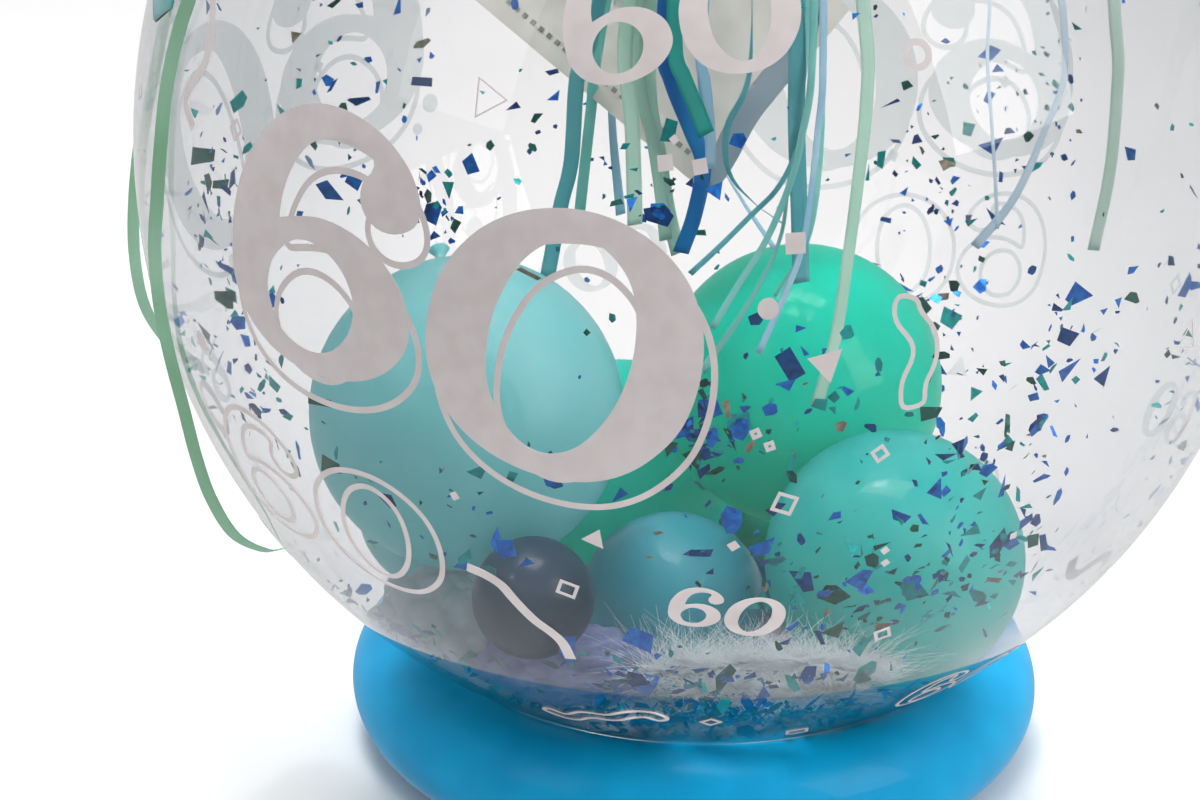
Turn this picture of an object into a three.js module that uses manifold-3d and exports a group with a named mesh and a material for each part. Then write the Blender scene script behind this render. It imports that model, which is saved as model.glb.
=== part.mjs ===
// A clear gift balloon standing on a blue ring, tied at the top with a teal bow and curling ribbons.
// Millimetres, +Z up. The origin is on the floor, under the middle of the balloon.
// The front, which faces -Y, is the side with the large print.
import * as THREE from 'three';
import { mergeVertices } from 'three/addons/utils/BufferGeometryUtils.js';
import Module from 'manifold-3d';

const wasm = await Module();
wasm.setup();

// Driving dimensions of the clear balloon
const BALLOON_RADIUS = 225;
const BALLOON_HALF_HEIGHT = 241;
const BALLOON_SIDES = 48;
const SHOULDER_RADIUS = 80; // where the round body starts to draw in to the neck
const NECK_RADIUS = 8.5;
const NECK_FOOT = 270; // heights above the middle of the balloon
const NECK_TOP = 284;
const LIP_HEIGHT = 318;
const LIP_RADIUS = 30;
const LIP_THICKNESS = 1.6;
const LIP_PLEATS = 8;
const LIP_PLEAT_DEPTH = 0.2;

// Driving dimensions of the ring that it stands on
const TUBE_RADIUS = 25;
const RING_RADIUS = 117.3;
const RING_HEIGHT = 24; // middle of the tube over the floor, so that the tube is flat below
const RING_BELOW_BALLOON = 233; // middle of the balloon to the middle of the tube
const RING_STEPS = 52;
const TUBE_SIDES = 14;
const PINCH = 0.68; // how far the tube draws in at its knot
const PINCH_REACH = 24;
const KNOT_RADIUS = 10;
const NOZZLE_LENGTH = 19;
const NOZZLE_RADIUS = 3.6;
const NOZZLE_LIP_RADIUS = 7;

// Driving dimensions of the ribbons
const SATIN_WIDTH = 32;
const SATIN_THICKNESS = 1.4;
const CURLING_WIDTH = 5.5;
const CURLING_THICKNESS = 1.4;
const BAND_RADIUS = 12;
const BAND_HEIGHT = 11;
const BOW_HEIGHT = 277; // middle of the bow over the middle of the balloon
const BOW_FRONT = 17; // middle of its knot in front of the neck
const LOOP_LENGTH = 92;
const LOOP_DEPTH = 26;
const LOOP_DROOP = 16;
const LOOP_STEPS = 14;
const LOOP_START = 0.5; // turn of the loop that stays inside the knot
const LOOP_POINT = 1.3; // how pointed the loop is at the knot
const BOW_KNOT = new THREE.Vector3(24, 17, 25);
const BOW_PINCH = 0.42; // share of the ribbon's width that is left at the knot
const POINT_LENGTH = 11; // of a tail's pointed end

const GAP = 0.3; // between pieces that touch
const MIDDLE = RING_HEIGHT + RING_BELOW_BALLOON; // of the balloon, over the floor

// Colours
const clearLatex = () => new THREE.MeshStandardMaterial({
  color: 0xe9eef1,
  roughness: 0.06,
  metalness: 0,
  transparent: true,
  opacity: 0.35,
});
const blueLatex = () => new THREE.MeshStandardMaterial({ color: 0x0a86c4, roughness: 0.3, metalness: 0 });
const tealSatin = () => new THREE.MeshStandardMaterial({ color: 0x22898b, roughness: 0.4, metalness: 0 });
const sageRibbon = () => new THREE.MeshStandardMaterial({ color: 0x86b296, roughness: 0.45, metalness: 0 });

// A three.js geometry as a solid that can be cut and joined
function toSolid(geometry) {
  const bare = geometry.clone();
  bare.deleteAttribute('normal');
  bare.deleteAttribute('uv');
  const merged = mergeVertices(bare, 1e-4);
  return new wasm.Manifold(new wasm.Mesh({
    numProp: 3,
    vertProperties: merged.attributes.position.array,
    triVerts: new Uint32Array(merged.index.array),
  }));
}

// A solid as a three.js geometry
function toGeometry(solid) {
  const mesh = solid.getMesh();
  const geometry = new THREE.BufferGeometry();
  geometry.setAttribute('position', new THREE.BufferAttribute(new Float32Array(mesh.vertProperties), 3));
  geometry.setIndex(new THREE.BufferAttribute(new Uint32Array(mesh.triVerts), 1));
  geometry.computeVertexNormals();
  return geometry;
}

// Moves every vertex of a geometry by a function of its place
function reshape(geometry, place) {
  const positions = geometry.attributes.position;
  const point = new THREE.Vector3();
  for (let i = 0; i < positions.count; i += 1) {
    point.fromBufferAttribute(positions, i);
    place(point);
    positions.setXYZ(i, point.x, point.y, point.z);
  }
  geometry.computeVertexNormals();
  return geometry;
}

// A lathe turned about Z, from a profile of radius and height
function turned(profile, sides) {
  const lathe = new THREE.LatheGeometry(profile, sides);
  return lathe.rotateX(Math.PI / 2);
}

// The body's profile from its lowest point to the foot of the neck, grown outwards by margin
function bodyProfile(margin) {
  const radius = BALLOON_RADIUS + margin;
  const halfHeight = BALLOON_HALF_HEIGHT + margin;
  const turnOfShoulder = Math.acos(SHOULDER_RADIUS / BALLOON_RADIUS);
  const steps = 22;
  const profile = [];
  for (let i = 0; i <= steps; i += 1) {
    const turn = THREE.MathUtils.lerp(-Math.PI / 2, turnOfShoulder, i / steps);
    profile.push(new THREE.Vector2(i === 0 ? 0 : radius * Math.cos(turn), halfHeight * Math.sin(turn)));
  }
  return profile;
}

// From the round body up into the neck
function shoulderCurve() {
  const turn = Math.acos(SHOULDER_RADIUS / BALLOON_RADIUS);
  const start = new THREE.Vector2(SHOULDER_RADIUS, BALLOON_HALF_HEIGHT * Math.sin(turn));
  const slope = new THREE.Vector2(-BALLOON_RADIUS * Math.sin(turn), BALLOON_HALF_HEIGHT * Math.cos(turn));
  const leaving = slope.normalize().multiplyScalar(SHOULDER_RADIUS * 0.56);
  const end = new THREE.Vector2(NECK_RADIUS, NECK_FOOT);
  const arriving = new THREE.Vector2(NECK_RADIUS, NECK_FOOT - 22);
  return new THREE.CubicBezierCurve(start, start.clone().add(leaving), arriving, end);
}

// The gathered lip that stands over the tie, outside and inside
function lipProfile() {
  const outside = new THREE.QuadraticBezierCurve(
    new THREE.Vector2(NECK_RADIUS, NECK_TOP),
    new THREE.Vector2(NECK_RADIUS + 3, NECK_TOP + 18),
    new THREE.Vector2(LIP_RADIUS, LIP_HEIGHT),
  );
  const out = outside.getPoints(5);
  const back = out.slice(1).reverse();
  const inside = back.map((p) => new THREE.Vector2(Math.max(p.x - LIP_THICKNESS * 1.5, 2), p.y + LIP_THICKNESS));
  inside.push(new THREE.Vector2(0, NECK_TOP + LIP_THICKNESS * 4));
  return [...out, ...inside];
}

// Folds that grow from the tie to the edge of the lip
function pleat(point) {
  const rise = THREE.MathUtils.clamp((point.z - NECK_TOP) / (LIP_HEIGHT - NECK_TOP), 0, 1);
  const turn = Math.atan2(point.y, point.x);
  const fold = 1 + LIP_PLEAT_DEPTH * rise * Math.cos(LIP_PLEATS * turn);
  point.x *= fold;
  point.y *= fold;
  point.z += 4 * rise * Math.sin(3 * turn);
}

function clearBalloon() {
  const shoulder = shoulderCurve().getPoints(8).slice(1);
  const profile = [...bodyProfile(0), ...shoulder, ...lipProfile()];
  return reshape(turned(profile, BALLOON_SIDES), pleat).translate(0, 0, MIDDLE);
}

// The lower body a little larger, which presses the seat into the ring
function seatCutter() {
  const profile = bodyProfile(GAP);
  profile.push(new THREE.Vector2(0, profile[profile.length - 1].y));
  return turned(profile, BALLOON_SIDES).translate(0, 0, MIDDLE);
}

// The tube draws in towards its knot, which is at the back
function pinchTube(point) {
  const turn = Math.atan2(point.y, point.x);
  const along = RING_RADIUS * Math.abs(turn - Math.PI / 2);
  const size = 1 - PINCH * Math.exp(-((along / PINCH_REACH) ** 2));
  const middle = new THREE.Vector3(RING_RADIUS * Math.cos(turn), RING_RADIUS * Math.sin(turn), 0);
  point.sub(middle).multiplyScalar(size).add(middle);
}

// The nozzle of the long balloon with its rolled lip, which sticks out behind the knot
function nozzle() {
  const bead = 1.4;
  const profile = [
    new THREE.Vector2(0, 0),
    new THREE.Vector2(NOZZLE_RADIUS, 0),
    new THREE.Vector2(NOZZLE_RADIUS, NOZZLE_LENGTH * 0.55),
    new THREE.Vector2(NOZZLE_LIP_RADIUS - bead, NOZZLE_LENGTH - bead),
    new THREE.Vector2(NOZZLE_LIP_RADIUS, NOZZLE_LENGTH - bead),
    new THREE.Vector2(NOZZLE_LIP_RADIUS, NOZZLE_LENGTH + bead),
    new THREE.Vector2(NOZZLE_LIP_RADIUS - bead, NOZZLE_LENGTH + bead),
    new THREE.Vector2(0, NOZZLE_LENGTH * 0.7),
  ];
  return turned(profile, 12).rotateX(-Math.PI * 0.44).translate(0, RING_RADIUS, 0);
}

function baseRing() {
  const tube = reshape(new THREE.TorusGeometry(RING_RADIUS, TUBE_RADIUS, TUBE_SIDES, RING_STEPS), pinchTube);
  const knot = new THREE.SphereGeometry(KNOT_RADIUS, 14, 10).scale(1.25, 0.95, 1).translate(0, RING_RADIUS, 0);
  const whole = toSolid(tube).add(toSolid(knot)).add(toSolid(nozzle()));
  const raised = whole.translate([0, 0, RING_HEIGHT]);
  const floorSize = 4 * RING_RADIUS;
  const floor = new THREE.BoxGeometry(floorSize, floorSize, floorSize).translate(0, 0, -floorSize / 2);
  return toGeometry(raised.subtract(toSolid(seatCutter())).subtract(toSolid(floor)));
}

// A smooth route whose frames keep one side turned to a chosen direction
class RibbonRoute extends THREE.CatmullRomCurve3 {
  constructor(points, facing) {
    super(points);
    this.facing = facing;
  }

  computeFrenetFrames(segments) {
    const frames = { tangents: [], normals: [], binormals: [] };
    for (let i = 0; i <= segments; i += 1) {
      const tangent = this.getTangentAt(i / segments);
      const normal = this.facing(this.getPointAt(i / segments));
      normal.addScaledVector(tangent, -normal.dot(tangent)).normalize();
      frames.tangents.push(tangent);
      frames.normals.push(normal);
      frames.binormals.push(new THREE.Vector3().crossVectors(tangent, normal));
    }
    return frames;
  }
}

// A flat ribbon of eight sides along a route
function ribbon(route, width, thickness, steps) {
  const sides = 8;
  const corner = 1 / Math.cos(Math.PI / sides);
  const section = new THREE.Shape();
  for (let i = 0; i < sides; i += 1) {
    const turn = (i + 0.5) * 2 * Math.PI / sides;
    const x = corner * Math.cos(turn) * thickness / 2;
    const y = corner * Math.sin(turn) * width / 2;
    if (i === 0) section.moveTo(x, y);
    else section.lineTo(x, y);
  }
  return new THREE.ExtrudeGeometry(section, { extrudePath: route, steps });
}

// Away from the middle of the balloon
function outwards(point) {
  const spread = new THREE.Vector3(BALLOON_RADIUS, BALLOON_RADIUS, BALLOON_HALF_HEIGHT);
  return point.clone().sub(new THREE.Vector3(0, 0, MIDDLE)).divide(spread).divide(spread).normalize();
}

// One loop of the bow, in the plane of X and Y, with its point at the origin
function loopRoute(side) {
  const points = [];
  for (let i = 0; i <= LOOP_STEPS; i += 1) {
    const turn = THREE.MathUtils.lerp(LOOP_START, 2 * Math.PI - LOOP_START, i / LOOP_STEPS);
    const along = LOOP_LENGTH * (1 - Math.cos(turn)) / 2;
    const across = LOOP_DEPTH * Math.sin(turn) * Math.sin(turn / 2) ** LOOP_POINT;
    points.push(new THREE.Vector3(side * along, across, 0));
  }
  const middle = new THREE.Vector3(side * LOOP_LENGTH * 0.6, 0, 0);
  return new RibbonRoute(points, (point) => point.clone().sub(middle).normalize());
}

// The ribbon is gathered at the knot, and the loops hang a little at their ends
function gatherLoop(point) {
  const along = Math.abs(point.x) / LOOP_LENGTH;
  const width = THREE.MathUtils.lerp(BOW_PINCH, 1.1, THREE.MathUtils.smoothstep(along, 0, 0.7));
  point.z = point.z * width - LOOP_DROOP * along ** 1.6;
}

function ribbonBow() {
  const band = new THREE.Shape();
  band.absarc(0, 0, BAND_RADIUS, 0, 2 * Math.PI);
  const hole = new THREE.Path();
  hole.absarc(0, 0, NECK_RADIUS + GAP, 0, 2 * Math.PI, true);
  band.holes.push(hole);
  const ringOfRibbon = new THREE.ExtrudeGeometry(band, {
    depth: BAND_HEIGHT,
    bevelEnabled: false,
    curveSegments: 12,
  });
  ringOfRibbon.translate(0, 0, -BAND_HEIGHT / 2);
  const knot = new THREE.SphereGeometry(0.5, 16, 12);
  reshape(knot, (p) => {
    const flat = 0.6;
    p.x = Math.sign(p.x) * 0.5 * (2 * Math.abs(p.x)) ** flat;
    p.z = Math.sign(p.z) * 0.5 * (2 * Math.abs(p.z)) ** flat;
    p.multiply(BOW_KNOT);
  });
  let bow = toSolid(ringOfRibbon).add(toSolid(knot.translate(0, -BOW_FRONT, 0)));
  for (const side of [-1, 1]) {
    const route = loopRoute(side);
    const loop = reshape(ribbon(route, SATIN_WIDTH, SATIN_THICKNESS, 2 * LOOP_STEPS), gatherLoop);
    bow = bow.add(toSolid(loop.translate(side * 5, -BOW_FRONT, 0)));
  }
  return toGeometry(bow.translate([0, 0, MIDDLE + BOW_HEIGHT]));
}

// Routes of the free ribbons, in millimetres over the floor, from the knot to the end
const points = (list) => list.map(([x, y, z]) => new THREE.Vector3(x, y, z + MIDDLE));
const TAIL_LEFT = [
  [-8, -28, 266], [-24, -31, 252], [-46, -33, 240], [-72, -38, 229], [-98, -44, 215], [-124, -50, 197],
  [-148, -56, 175], [-169, -62, 150], [-186, -68, 122], [-198, -73, 94], [-205, -76, 66],
];
const TAIL_RIGHT = [
  [8, -28, 266], [24, -31, 252], [46, -34, 240], [72, -40, 229], [98, -49, 214], [123, -59, 194],
  [146, -69, 170], [166, -79, 142], [181, -87, 115],
];
const CURLING_FRONT = [
  [-5, -16, 291], [-12, -34, 285], [-22, -52, 266], [-38, -72, 247], [-60, -90, 227], [-85, -104, 207],
  [-112, -112, 183], [-138, -115, 160], [-161, -112, 133], [-179, -105, 106], [-191, -99, 79],
  [-198, -99, 53], [-201, -102, 30], [-203, -103, 8], [-205, -101, -14], [-205, -94, -38],
  [-203, -86, -62], [-199, -81, -86], [-195, -78, -108], [-190, -75, -127], [-182, -69, -145],
  [-172, -52, -159], [-166, -38, -164],
];
const CURLING_BACK = [
  [-5, 13, 284], [-20, 22, 270], [-40, 34, 252], [-64, 46, 240], [-92, 55, 224], [-120, 62, 204],
  [-147, 65, 180], [-171, 65, 152], [-190, 62, 122], [-205, 57, 90], [-216, 51, 57], [-223, 42, 22],
  [-229, 31, -10], [-232, 24, -38], [-232, 20, -62], [-228, 19, -84], [-218, 24, -103], [-206, 30, -116],
];

function satinTail(list) {
  const route = new RibbonRoute(points(list), outwards);
  const end = route.getPointAt(1);
  const along = route.getTangentAt(1);
  const body = ribbon(route, SATIN_WIDTH, SATIN_THICKNESS, 14);
  return reshape(body, (point) => {
    const past = point.clone().sub(end);
    const fromEnd = past.dot(along);
    if (fromEnd > -1) {
      const offCentre = past.addScaledVector(along, -fromEnd).length() / (SATIN_WIDTH / 2);
      point.addScaledVector(along, -POINT_LENGTH * Math.min(offCentre, 1));
    }
  });
}

function curlingRibbon(list) {
  const route = new RibbonRoute(points(list), outwards);
  const steps = Math.round(route.getLength() / (2.5 * CURLING_WIDTH));
  return ribbon(route, CURLING_WIDTH, CURLING_THICKNESS, steps);
}

const balloon = new THREE.Group();

function addPiece(name, geometry, material) {
  const mesh = new THREE.Mesh(geometry, material);
  mesh.name = name;
  balloon.add(mesh);
}

addPiece('clear_balloon', clearBalloon(), clearLatex());
addPiece('base_ring', baseRing(), blueLatex());
addPiece('ribbon_bow', ribbonBow(), tealSatin());
addPiece('bow_tail_left', satinTail(TAIL_LEFT), tealSatin());
addPiece('bow_tail_right', satinTail(TAIL_RIGHT), tealSatin());
addPiece('curling_ribbon_front', curlingRibbon(CURLING_FRONT), sageRibbon());
addPiece('curling_ribbon_back', curlingRibbon(CURLING_BACK), sageRibbon());

export default balloon;
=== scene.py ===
# A clear gift balloon on a blue ring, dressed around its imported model.
# Metres, +Z up. The origin is on the floor, under the middle of the balloon, and -Y is the front.
import math
import random

import bpy
import numpy as np
from mathutils import Matrix, Vector
from mathutils.geometry import delaunay_2d_cdt


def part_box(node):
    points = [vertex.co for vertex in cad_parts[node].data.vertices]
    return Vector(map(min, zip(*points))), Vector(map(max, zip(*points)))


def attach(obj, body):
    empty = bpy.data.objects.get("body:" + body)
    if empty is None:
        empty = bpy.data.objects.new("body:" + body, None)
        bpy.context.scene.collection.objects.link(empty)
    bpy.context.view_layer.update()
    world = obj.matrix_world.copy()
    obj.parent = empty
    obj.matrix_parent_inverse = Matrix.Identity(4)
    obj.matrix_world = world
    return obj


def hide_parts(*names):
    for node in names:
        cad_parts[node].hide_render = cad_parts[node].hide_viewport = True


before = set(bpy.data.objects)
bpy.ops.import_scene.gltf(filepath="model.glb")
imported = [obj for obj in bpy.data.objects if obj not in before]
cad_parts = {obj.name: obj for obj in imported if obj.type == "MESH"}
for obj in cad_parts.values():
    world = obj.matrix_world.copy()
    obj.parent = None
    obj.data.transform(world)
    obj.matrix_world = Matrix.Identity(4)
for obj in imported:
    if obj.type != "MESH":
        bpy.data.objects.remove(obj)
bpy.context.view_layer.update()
MM = 0.001

# Driving sizes, as the solids have them
film_low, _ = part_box("clear_balloon")
RADIUS = 225 * MM
HALF_HEIGHT = 241 * MM
MIDDLE = film_low.z + HALF_HEIGHT
SPREAD = np.array([RADIUS, RADIUS, HALF_HEIGHT])
CENTRE = np.array([0, 0, MIDDLE])
SHOULDER_RADIUS = 80 * MM
NECK_RADIUS = 8.5 * MM
NECK_FOOT = 270 * MM
NECK_TOP = 284 * MM
SHOULDER_HANDLE = 0.56
NECK_HANDLE = 22 * MM
LIP_HEIGHT = 318 * MM
LIP_RADIUS = 30 * MM
LIP_WALL = 1.6 * MM
LIP_PLEATS = 8
LIP_PLEAT_DEPTH = 0.2
FILM_WALL = 0.5 * MM
TUBE_RADIUS = 25 * MM
RING_RADIUS = 117.3 * MM
RING_HEIGHT = 24 * MM
SATIN_WIDTH = 32 * MM
SATIN_WALL = 0.7 * MM
CURLING_WIDTH = 5.5 * MM
CURLING_WALL = 0.35 * MM
BOW_HEIGHT = 277 * MM
BOW_FRONT = 17 * MM
LOOP_LENGTH = 92 * MM
LOOP_DEPTH = 26 * MM
LOOP_DROOP = 16 * MM
LOOP_START = 0.5
BOW_KNOT = np.array([24, 17, 25]) * MM
BAND_RADIUS = 12 * MM
BAND_HALF = 5.5 * MM


# Small helpers

def tone(*colour):
    """Red, green and blue as seen on a screen, 0 to 255, as the linear colour of a shader."""
    return tuple(((c / 255 + 0.055) / 1.055) ** 2.4 if c > 10 else c / 3295 for c in colour)


def unit(v):
    return v / np.maximum(np.linalg.norm(v, axis=-1, keepdims=True), 1e-12)


def smooth_step(x, low, high):
    t = np.clip((x - low) / (high - low), 0, 1)
    return t * t * (3 - 2 * t)


def in_metres(points):
    """Places given in millimetres from the middle of the balloon."""
    return np.array(points) * MM + CENTRE


def facing(azimuth, rise):
    """The unit direction at an azimuth round from the front and a rise over the middle, in degrees."""
    a, r = math.radians(azimuth), math.radians(rise)
    return np.array([math.sin(a) * math.cos(r), -math.cos(a) * math.cos(r), math.sin(r)])


def on_body(directions, lift=0.0):
    """Points of the balloon's round body, lifted off it along its normal."""
    directions = unit(directions)
    return CENTRE + directions * SPREAD + unit(directions / SPREAD) * lift


def outwards(points):
    """Away from the middle of the balloon, square to its surface."""
    return unit((points - CENTRE) / SPREAD ** 2)


def kept_inside(points, gap=3 * MM):
    """Points brought back to a little inside the film, where they lie past it."""
    depth = np.linalg.norm((points - CENTRE) / (SPREAD - gap), axis=-1, keepdims=True)
    return CENTRE + (points - CENTRE) / np.maximum(depth, 1)


def ways_round(rows, sides):
    """Unit directions from the top to the foot, row by row."""
    t = np.repeat(np.arange(rows + 1) * math.pi / rows, sides)
    p = np.tile(np.arange(sides) * 2 * math.pi / sides, rows + 1)
    return np.stack([np.sin(t) * np.cos(p), np.sin(t) * np.sin(p), np.cos(t)], axis=1)


def smooth_route(keys, count, closed=False, fine_steps=24):
    """Evenly spaced points of a smooth curve through key points."""
    keys = np.asarray(keys, float)
    if closed:
        keys = np.concatenate([keys[-1:], keys, keys[:2]])
    else:
        keys = np.concatenate([2 * keys[:1] - keys[1:2], keys, 2 * keys[-1:] - keys[-2:-1]])
    fine = []
    for a, b, c, d in zip(keys, keys[1:], keys[2:], keys[3:]):
        square, cube = 2 * a - 5 * b + 4 * c - d, 3 * b - a - 3 * c + d
        for t in np.arange(fine_steps) / fine_steps:
            fine.append((2 * b + (c - a) * t + square * t ** 2 + cube * t ** 3) / 2)
    fine = np.array([*fine, keys[-2]])
    run = np.concatenate([[0], np.cumsum(np.linalg.norm(np.diff(fine, axis=0), axis=1))])
    at = np.linspace(0, run[-1], count + 1)[: count if closed else None]
    return np.stack([np.interp(at, run, column) for column in fine.T], axis=1)


def length_of(points):
    return float(np.sum(np.linalg.norm(np.diff(points, axis=0), axis=1)))


def add_mesh(name, points, faces, material, slot, smooth=True, replaces=()):
    """A new piece that rides on the object, from points and faces."""
    mesh = bpy.data.meshes.new(name)
    mesh.from_pydata(np.asarray(points, float).tolist(), [], [list(map(int, f)) for f in faces])
    mesh.update()
    mesh.polygons.foreach_set("use_smooth", [smooth] * len(mesh.polygons))
    piece = bpy.data.objects.new(name, mesh)
    bpy.context.scene.collection.objects.link(piece)
    for one in material if isinstance(material, list) else [material]:
        mesh.materials.append(one)
    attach(piece, "root")
    if replaces:
        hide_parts(*replaces)
    return piece


def grid_faces(rows, columns, around=True):
    """Quads between rows of points, closed round each row or open."""
    faces = []
    for low in range(0, (rows - 1) * columns, columns):
        for j in range(columns if around else columns - 1):
            k = (j + 1) % columns
            faces.append((low + j, low + k, low + columns + k, low + columns + j))
    return faces


def turned(profile, sides):
    """A profile of (radius, height) turned about Z. An end on the axis is one point."""
    points, rows, faces = [], [], []
    turns = np.arange(sides) * 2 * math.pi / sides
    for radius, height in profile:
        count = 1 if radius < 1e-9 else sides
        rows.append([len(points) + j % count for j in range(sides)])
        points += [(radius * math.cos(t), radius * math.sin(t), height) for t in turns[:count]]
    for low, high in zip(rows, rows[1:]):
        for j in range(sides):
            k = (j + 1) % sides
            faces.append(tuple(dict.fromkeys((low[j], low[k], high[k], high[j]))))
    return np.array(points, float), faces


def joined(parts):
    """Several (points, faces) as one."""
    points, faces = [], []
    count = 0
    for some, more in parts:
        points.append(some)
        faces += [tuple(c + count for c in face) for face in more]
        count += len(some)
    return np.concatenate(points), faces


def swept(route, side, normal, cut):
    """A closed band along a route. The cut is a function of a point's number, giving (across, up)."""
    rows = []
    for i, here in enumerate(route):
        section = cut(i)
        rows.append(here + section[:, :1] * side[i] + section[:, 1:] * normal[i])
    columns = len(rows[0])
    faces = grid_faces(len(rows), columns)
    faces.append(tuple(range(columns))[::-1])
    faces.append(tuple((len(rows) - 1) * columns + j for j in range(columns)))
    return np.concatenate(rows), faces


def rims(faces):
    """The closed loops of points round a sheet of faces."""
    sides = dict.fromkeys((a, b) for face in faces for a, b in zip(face, face[1:] + face[:1]))
    following = {a: b for a, b in sides if (b, a) not in sides}
    loops = []
    while following:
        start, here = following.popitem()
        loop = [start]
        while here != start:
            loop.append(here)
            here = following.pop(here, start)
        loops.append(loop)
    return loops


def closed_sheet(top, foot, faces):
    """A thin closed layer between a sheet and its lower copy."""
    count = len(top)
    whole = faces + [tuple(c + count for c in face[::-1]) for face in faces]
    for loop in rims(faces):
        for start, end in zip(loop, loop[1:] + loop[:1]):
            whole.append((end, start, start + count, end + count))
    return np.concatenate([top, foot]), whole


def frames_along(route, face_to):
    """For each point of a route, its side and its normal, turned towards face_to."""
    tangent = unit(np.gradient(route, axis=0))
    normal = unit(face_to - np.sum(face_to * tangent, axis=1, keepdims=True) * tangent)
    return np.cross(normal, tangent), normal


RIB_HEIGHT = 0.12


def flat_section(width, wall, cup, ribs):
    """A ribbon's cut: flat, or cupped, or with fine ribs along it."""
    across = np.linspace(-0.5, 0.5, 17 if ribs or cup else 5)
    crown = cup * (1 - (2 * across) ** 2)
    rib = RIB_HEIGHT * wall * np.cos(across * 2 * math.pi * ribs) if ribs else 0
    edge = wall / 2 * np.sqrt(np.clip(1 - (2 * across) ** 8, 0.05, 1))
    upper = np.stack([across * width, crown + edge + rib], axis=1)
    lower = np.stack([across * width, crown - edge], axis=1)
    return np.concatenate([upper, lower[::-1]])


# Materials

def plug(tree, node, **values):
    """Sets each named input to its value, or links it where the value is another node's socket."""
    for key, value in values.items():
        entry = node.inputs[key.replace("_", " ")]
        if isinstance(value, bpy.types.NodeSocket):
            tree.links.new(value, entry)
        else:
            entry.default_value = value


def add_node(tree, kind, **values):
    node = tree.nodes.new(kind)
    plug(tree, node, **values)
    return node


def new_material(name):
    material = bpy.data.materials.new(name)
    material.use_nodes = True
    tree = material.node_tree
    return material, tree, tree.nodes["Principled BSDF"]


def noise_at(tree, size, detail=1.0, stretch=(1, 1, 1)):
    """A noise whose grains are about this size in metres, in the object's own frame."""
    place = add_node(tree, "ShaderNodeTexCoord").outputs["Object"]
    mapped = add_node(tree, "ShaderNodeMapping", Vector=place, Scale=stretch).outputs["Vector"]
    return add_node(tree, "ShaderNodeTexNoise", Vector=mapped, Scale=1 / size, Detail=detail).outputs["Fac"]


def colour_between(tree, factor, colour, other, low=0.35, high=0.65):
    ramp = add_node(tree, "ShaderNodeValToRGB", Fac=factor)
    for element, position, tint in zip(ramp.color_ramp.elements, (low, high), (colour, other)):
        element.position = position
        element.color = (*tint, 1)
    return ramp.outputs["Color"]


def surface(name, colour, other, grain, bump=0.0, bump_grain=0.0, stretch=(1, 1, 1), **values):
    """A Principled shader whose colour drifts between two tones, with a fine bump."""
    material, tree, shader = new_material(name)
    plug(tree, shader, Base_Color=colour_between(tree, noise_at(tree, grain), colour, other), **values)
    if bump:
        fine = noise_at(tree, bump_grain, stretch=stretch)
        node = add_node(tree, "ShaderNodeBump", Strength=1.0, Distance=bump, Height=fine)
        plug(tree, shader, Normal=node.outputs["Normal"])
    return material


def mixed_in(material, share, kind, **values):
    """Mixes a share of another shader into a material."""
    tree = material.node_tree
    surface_in = tree.nodes["Material Output"].inputs["Surface"]
    mix = add_node(tree, "ShaderNodeMixShader", Fac=share)
    tree.links.new(surface_in.links[0].from_socket, mix.inputs[1])
    tree.links.new(add_node(tree, kind, **values).outputs["BSDF"], mix.inputs[2])
    tree.links.new(mix.outputs["Shader"], surface_in)
    return material


def light_through(material, share, colour):
    """For thin or pale things, which light passes scattered."""
    return mixed_in(material, share, "ShaderNodeBsdfTranslucent", Color=(*colour, 1))


FILM_TINTS = ((0.923, 0.916, 0.921), (0.932, 0.925, 0.93))
FILM_AT_A_SLANT = (0.866, 0.878, 0.886)


def clear_film():
    """Clear stretched film, a little darker where it is seen at a slant."""
    material, tree, shader = new_material("clear_film")
    tint = colour_between(tree, noise_at(tree, 60 * MM, 0.0), *FILM_TINTS)
    slant = add_node(tree, "ShaderNodeLayerWeight", Blend=0.5).outputs["Facing"]
    shade = colour_between(tree, slant, (1, 1, 1), FILM_AT_A_SLANT, 0.03, 0.3)
    both = add_node(tree, "ShaderNodeMixRGB", Fac=1.0, Color1=tint, Color2=shade)
    both.blend_type = "MULTIPLY"
    plug(tree, shader, Base_Color=both.outputs["Color"], Transmission_Weight=1.0, IOR=1.3, Roughness=0.02)
    return material


def latex(name, colour, other, **values):
    """Stretched balloon latex: pearly, with a wet gloss."""
    gloss = {"Roughness": 0.4, "Coat_Weight": 0.5, "Coat_Roughness": 0.05, "Specular_IOR_Level": 0.12}
    return surface(name, colour, other, 30 * MM, **{**gloss, **values})


def satin(name, colour, other):
    return surface(name, colour, other, 14 * MM, 0.05 * MM, 0.5 * MM, (1, 1, 6),
                   Roughness=0.38, Sheen_Weight=0.35, Sheen_Roughness=0.4)


def gloss_ribbon(name, colour, other):
    material = surface(name, colour, other, 25 * MM, Roughness=0.36, Specular_IOR_Level=0.35)
    return light_through(material, 0.4, colour)


def foil(name, colour, other):
    return surface(name, colour, other, 2.5 * MM, 0.12 * MM, 3 * MM, Roughness=0.3, Metallic=0.45,
                   Specular_IOR_Level=0.25)


def ink(name, colour, other, roughness, scattered, glow, clear=0.0):
    """Print ink, which a share of the light passes scattered and a share passes straight."""
    material = light_through(surface(name, colour, other, 8 * MM, Roughness=roughness), scattered, glow)
    return mixed_in(material, clear, "ShaderNodeBsdfTransparent") if clear else material


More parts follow.
